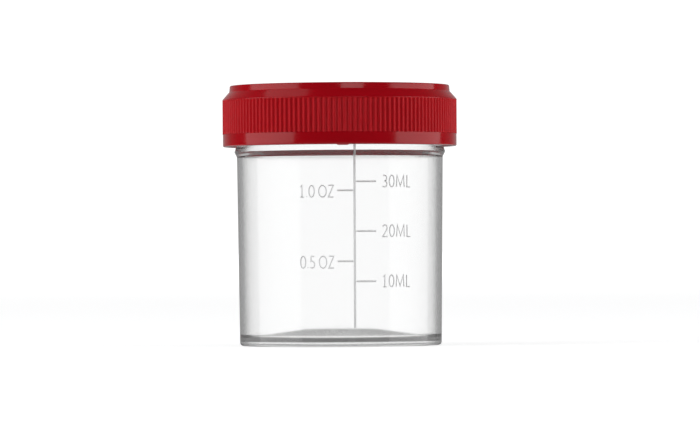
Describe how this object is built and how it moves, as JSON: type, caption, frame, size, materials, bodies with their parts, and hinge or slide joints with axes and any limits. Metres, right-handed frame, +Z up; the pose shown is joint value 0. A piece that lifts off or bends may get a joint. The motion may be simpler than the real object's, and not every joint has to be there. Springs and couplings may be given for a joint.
{
  "type": "urine specimen bottle",
  "caption": "Small clear tapered container with a moulded volume scale and a stop bead on its neck, closed by a red ribbed screw cap with a sealing liner.",
  "frame": {"origin": "centre of the base, on the surface that the bottle stands on", "axes": "+Z up along the bottle's axis, -Y towards the front, where the volume scale is, +X to the right of someone facing the scale"},
  "size_m": [0.0447, 0.0446, 0.0496],
  "materials": {
    "clear_plastic": "clear, gloss, faintly cool",
    "liner_foam": "white foamed sheet, satin",
    "red_plastic": "moulded, semi-gloss"
  },
  "bodies": {
    "container": {"container_body": "clear_plastic"},
    "liner": {"sealing_liner": "liner_foam"},
    "cap": {"screw_cap": "red_plastic"}
  },
  "joints": [
    {"name": "cap_lift", "type": "slide", "parent": "container", "child": "liner", "axis": [0, 0, 1], "range_m": [0, 0.01234]},
    {"name": "cap_turn", "type": "hinge", "parent": "liner", "child": "cap", "pos_m": [0, 0, 0.0435], "axis": [0, 0, 1], "range_deg": [0, 1050]}
  ],
  "couplings": [
    {"joint": "cap_lift", "follows": "cap_turn", "m_per_rad": 0.00067322}
  ]
}
